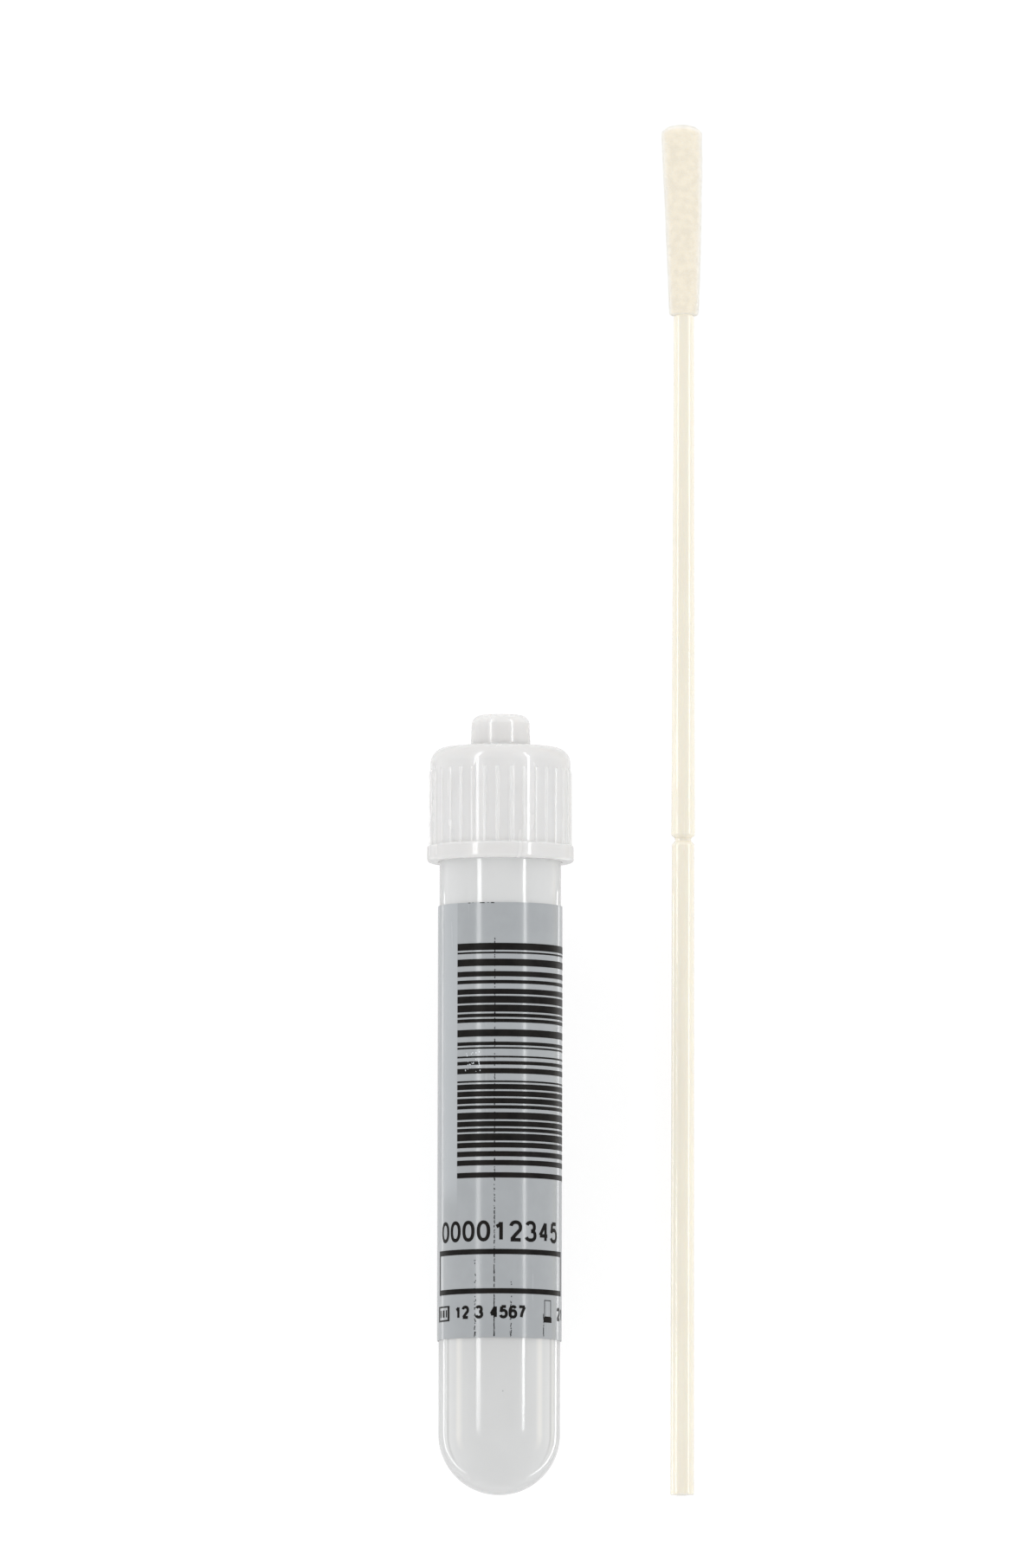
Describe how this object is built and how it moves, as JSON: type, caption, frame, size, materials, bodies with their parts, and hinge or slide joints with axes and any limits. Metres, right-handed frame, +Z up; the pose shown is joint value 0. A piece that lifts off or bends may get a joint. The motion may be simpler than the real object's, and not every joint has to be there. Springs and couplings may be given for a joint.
{
  "type": "specimen swab tube",
  "caption": "Round-bottomed translucent specimen tube with a ribbed screw cap, a swab socket in the cap and a wrap label, lying beside its flocked swab stick with a snap point.",
  "frame": {"origin": "on the surface the set lies on, under the middle of its box", "axes": "+Z up, +Y along the tube and the swab towards the cap and the flocked tip, +X from the tube towards the swab"},
  "size_m": [0.0306, 0.1528, 0.0163],
  "materials": {
    "tube_plastic": "gloss",
    "cap_plastic": "satin",
    "label_paper": "satin",
    "shaft_plastic": "satin",
    "flock": "matte"
  },
  "bodies": {
    "tube": {"tube": "tube_plastic", "label": "label_paper", "swab_shaft": "shaft_plastic", "swab_tip": "flock"},
    "cap": {"screw_cap": "cap_plastic"}
  },
  "joints": [
    {"name": "cap_lift", "type": "slide", "parent": "tube", "child": "cap", "axis": [0, 0.9998, 0.0221], "range_m": [0, 0.03]}
  ]
}
